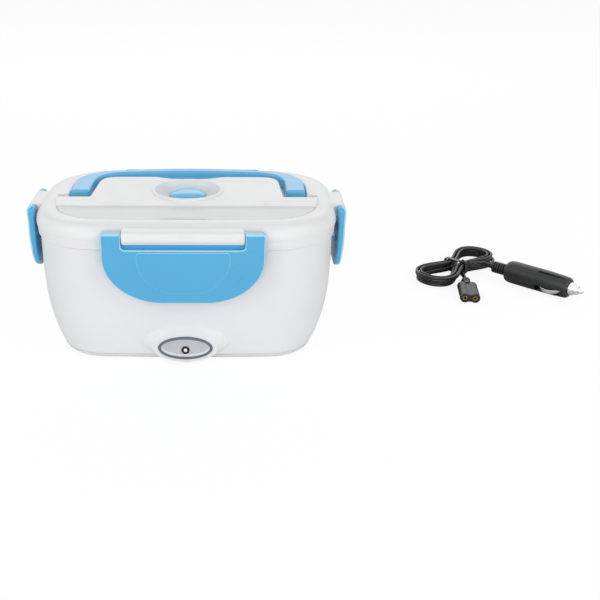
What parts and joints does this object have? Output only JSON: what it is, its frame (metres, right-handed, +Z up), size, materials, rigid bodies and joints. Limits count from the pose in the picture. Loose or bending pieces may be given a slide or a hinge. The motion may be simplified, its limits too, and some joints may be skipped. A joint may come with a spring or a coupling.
{
  "type": "electric lunch box",
  "caption": "Electric lunch box with a heated base, lift-off lid held by side clips, folding bail handle, food container, side tray, spoon compartment and a detached car lead.",
  "frame": {"origin": "on the floor under the middle of the box, without its lead", "axes": "+X to the right along the box's width, +Z up, -Y towards the front with the indicator"},
  "size_m": [0.4533, 0.2323, 0.112],
  "materials": {
    "white_shell": "satin",
    "white_trim": "satin",
    "white_lid": "satin",
    "blue_gloss": "glossy",
    "blue_soft": "satin",
    "grey_panel": "satin",
    "grey_bezel": "satin",
    "black_plastic": "satin",
    "black_gloss": "glossy",
    "lens": "glossy",
    "foot_rubber": "matte",
    "gasket_rubber": "matte",
    "screw_steel": "satin",
    "heat_plate": "satin",
    "heater_block": "satin",
    "bracket_steel": "satin",
    "brown_case": "matte",
    "fuse_sleeve": "matte",
    "contact_brass": "satin",
    "wire_insulation": "satin",
    "board_green": "satin",
    "tan_ceramic": "matte",
    "inner_white": "satin",
    "food_plastic": "satin",
    "tray_plastic": "glossy",
    "spoon_plastic": "glossy",
    "cord_black": "satin",
    "plug_silver": "polished",
    "fuse_glass": "clear",
    "spring_steel": "satin"
  },
  "bodies": {
    "base": {"base_shell": "white_shell", "base_cover": "white_trim", "cover_screws": "screw_steel", "feet": "foot_rubber", "heating_plate": "heat_plate", "plate_gasket": "gasket_rubber", "ptc_heater": "heater_block", "heater_bracket": "bracket_steel", "bracket_screws": "screw_steel", "thermostat": "brown_case", "thermal_fuse": "fuse_sleeve", "inlet_body": "black_plastic", "inlet_pins": "contact_brass", "wiring": "wire_insulation", "indicator_board": "board_green", "indicator_led": "lens", "led_resistor": "tan_ceramic", "indicator_panel": "grey_panel", "indicator_bezel": "grey_bezel", "led_ring": "black_gloss"},
    "lid": {"lid_shell": "white_lid", "lid_liner": "inner_white", "lid_gasket": "gasket_rubber"},
    "vent_plug": {"vent_plug": "blue_soft"},
    "spoon_cover": {"spoon_cover": "white_lid"},
    "spoon": {"spoon": "spoon_plastic"},
    "handle": {"handle": "blue_gloss"},
    "clip_front": {"clip_front": "blue_gloss"},
    "clip_back": {"clip_back": "blue_gloss"},
    "clip_left": {"clip_left": "blue_gloss"},
    "clip_right": {"clip_right": "blue_gloss"},
    "container": {"food_container": "food_plastic"},
    "tray": {"side_tray": "tray_plastic"},
    "lead": {"lead_hank": "cord_black", "connector_cord": "cord_black", "plug_cord": "cord_black", "twist_tie": "black_plastic", "lead_connector": "black_plastic", "connector_sleeves": "contact_brass", "plug_strain_relief": "black_plastic", "plug_housing_upper": "black_plastic", "plug_housing_lower": "black_plastic", "side_contacts": "plug_silver", "plug_nut": "plug_silver", "tip_spring": "spring_steel"},
    "tip": {"plug_tip": "plug_silver", "plug_fuse": "fuse_glass"}
  },
  "joints": [
    {"name": "lid_lift", "type": "slide", "parent": "base", "child": "lid", "axis": [0, 0, 1], "range_m": [0, 0.17]},
    {"name": "container_lift", "type": "slide", "parent": "base", "child": "container", "axis": [0, 0, 1], "range_m": [0, 0.085]},
    {"name": "tray_lift", "type": "slide", "parent": "base", "child": "tray", "axis": [0, 0, 1], "range_m": [0, 0.1275]},
    {"name": "handle_swing", "type": "hinge", "parent": "lid", "child": "handle", "pos_m": [0, 0.004, 0.1038], "axis": [1, 0, 0], "range_deg": [0, 90]},
    {"name": "vent_plug_pull", "type": "slide", "parent": "lid", "child": "vent_plug", "axis": [0, 0, 1], "range_m": [0, 0.014]},
    {"name": "spoon_cover_lift", "type": "slide", "parent": "lid", "child": "spoon_cover", "axis": [0, 0, 1], "range_m": [0, 0.03]},
    {"name": "spoon_lift", "type": "slide", "parent": "lid", "child": "spoon", "axis": [0, 0, 1], "range_m": [0, 0.015]},
    {"name": "clip_front_swing", "type": "hinge", "parent": "lid", "child": "clip_front", "pos_m": [0, -0.0796, 0.101], "axis": [-1, 0, 0], "range_deg": [0, 130]},
    {"name": "clip_back_swing", "type": "hinge", "parent": "lid", "child": "clip_back", "pos_m": [0, 0.0796, 0.101], "axis": [1, 0, 0], "range_deg": [0, 130]},
    {"name": "clip_left_swing", "type": "hinge", "parent": "lid", "child": "clip_left", "pos_m": [-0.1166, 0, 0.101], "axis": [0, 1, 0], "range_deg": [0, 130]},
    {"name": "clip_right_swing", "type": "hinge", "parent": "lid", "child": "clip_right", "pos_m": [0.1166, 0, 0.101], "axis": [0, -1, 0], "range_deg": [0, 130]},
    {"name": "lead_lift", "type": "slide", "parent": "base", "child": "lead", "axis": [0, 0, 1], "range_m": [0, 0.05]},
    {"name": "plug_tip_press", "type": "slide", "parent": "lead", "child": "tip", "axis": [-0.7193, 0.6947, 0], "range_m": [0, 0.004], "stiffness_N_per_m": 300, "deforming": ["tip_spring"]}
  ],
  "couplings": [
    {"joint": "container_lift", "follows": "lid_lift", "ratio": 0.5},
    {"joint": "tray_lift", "follows": "lid_lift", "ratio": 0.75},
    {"joint": "spoon_lift", "follows": "spoon_cover_lift", "ratio": 0.5}
  ]
}
